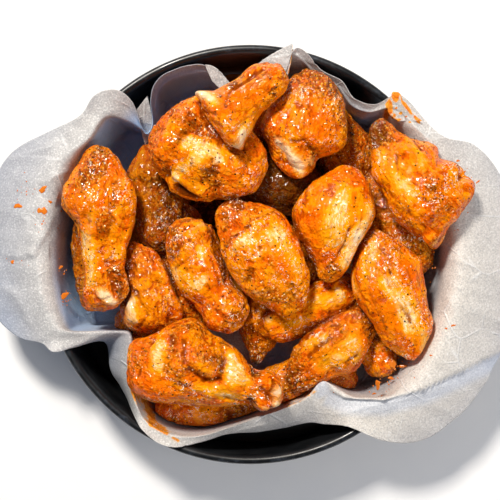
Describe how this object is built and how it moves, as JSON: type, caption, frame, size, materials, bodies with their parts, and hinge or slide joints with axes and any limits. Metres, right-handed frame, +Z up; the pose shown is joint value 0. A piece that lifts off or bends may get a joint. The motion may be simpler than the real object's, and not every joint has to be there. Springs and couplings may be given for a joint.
{
  "type": "chicken wings in a parchment-lined tin",
  "caption": "Heap of sauced chicken wing pieces, drumettes and flats, in a round dark tin lined with crumpled parchment.",
  "frame": {"origin": "centre of the tin's underside", "axes": "+Z up, +Y away from the viewer who looks down on the tin, +X to that viewer's right"},
  "size_m": [0.3062, 0.236, 0.0891],
  "materials": {
    "tin": "satin black non-stick coating",
    "paper": "matte, mottled, slightly translucent parchment with spots of sauce",
    "wing": "glossy orange sauce over browned chicken skin"
  },
  "bodies": {
    "root": {"tin": "tin", "paper": "paper", "flat_under_bottom_right": "wing", "flat_under_lower_left": "wing", "flat_under_left": "wing", "flat_under_middle_left": "wing", "drumette_under_middle": "wing", "flat_under_top": "wing", "drumette_under_top": "wing", "drumette_under_bottom": "wing", "drumette_in_shadow_left": "wing", "drumette_knuckle_right": "wing", "drumette_bone_end": "wing", "flat_under_right": "wing", "drumette_in_shadow_middle": "wing", "flat_diagonal": "wing", "drumette_lower_right": "wing", "flat_lower_left": "wing", "flat_middle_left": "wing", "drumette_left": "wing", "drumette_bottom_left": "wing", "flat_right": "wing", "drumette_upper_right": "wing", "drumette_far_right": "wing", "drumette_top": "wing", "drumette_middle": "wing", "drumette_upper_left": "wing", "drumette_on_top": "wing"}
  },
  "joints": []
}
